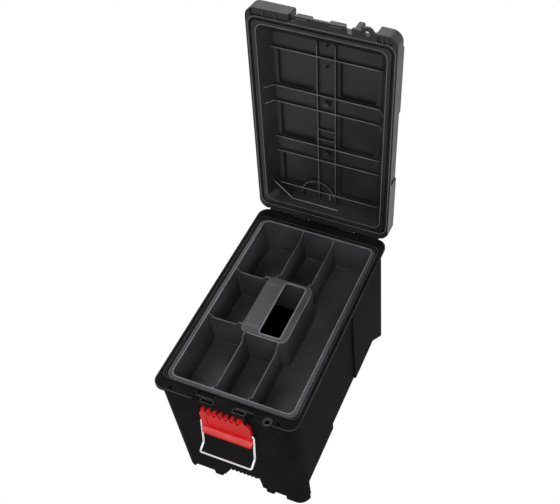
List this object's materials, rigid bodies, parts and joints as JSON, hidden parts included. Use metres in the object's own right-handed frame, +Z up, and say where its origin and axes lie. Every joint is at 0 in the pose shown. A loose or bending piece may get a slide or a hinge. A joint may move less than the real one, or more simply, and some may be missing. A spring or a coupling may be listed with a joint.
{
  "type": "latching toolbox with organizer tray",
  "caption": "Tall rectangular plastic toolbox with a hinged ribbed lid, a lift-out organizer tray, a red over-centre latch with a wire bail and a folding carry handle.",
  "frame": {"origin": "on the floor plane under the middle of the body, feet at Z = 0", "axes": "+X across the box to the right seen from the latch, -Y towards the latch front, +Y towards the hinge, +Z up"},
  "size_m": [0.254, 0.5157, 0.709],
  "materials": {
    "black_plastic": "fine matt texture",
    "tray_plastic": "satin",
    "red_plastic": "satin",
    "steel": "bright plated",
    "seal_rubber": "matt",
    "grip_rubber": "matt"
  },
  "bodies": {
    "body": {"body_shell": "black_plastic", "hinge_rod": "steel", "latch_pin": "steel", "padlock_eyelet_body": "steel", "stack_release_pin": "steel"},
    "lid": {"lid_shell": "black_plastic", "lid_seal": "seal_rubber", "padlock_eyelet_lid": "steel", "handle_bracket_front": "black_plastic", "handle_bracket_rear": "black_plastic", "handle_pin_front": "steel", "handle_pin_rear": "steel", "handle_screw_front": "steel", "handle_screw_rear": "steel"},
    "handle": {"carry_handle": "black_plastic", "handle_grip": "grip_rubber"},
    "lever": {"latch_lever": "red_plastic"},
    "bail": {"latch_bail": "steel"},
    "release": {"stack_release_lever": "black_plastic"},
    "tray": {"organizer_tray": "tray_plastic"}
  },
  "joints": [
    {"name": "lid_hinge", "type": "hinge", "parent": "body", "child": "lid", "pos_m": [0, 0.2065, 0.2915], "axis": [-1, 0, 0], "range_deg": [-96.4, 0]},
    {"name": "handle_fold", "type": "hinge", "parent": "lid", "child": "handle", "pos_m": [-0.015, 0.261, 0.48312], "axis": [0, 0.1115, 0.9938], "range_deg": [0, 90]},
    {"name": "latch_lift", "type": "hinge", "parent": "body", "child": "lever", "pos_m": [0, -0.2073, 0.268], "axis": [-1, 0, 0], "range_deg": [0, 110]},
    {"name": "bail_swing", "type": "hinge", "parent": "lever", "child": "bail", "pos_m": [0, -0.2062, 0.223], "axis": [1, 0, 0], "range_deg": [-164, 0]},
    {"name": "stack_release", "type": "hinge", "parent": "body", "child": "release", "pos_m": [0, -0.169, 0.0525], "axis": [-1, 0, 0], "range_deg": [0, 6], "stiffness_Nm_per_rad": 0.3, "springref_deg": -5.73},
    {"name": "tray_lift", "type": "slide", "parent": "body", "child": "tray", "axis": [0, 0, 1], "range_m": [0, 0.12]}
  ]
}
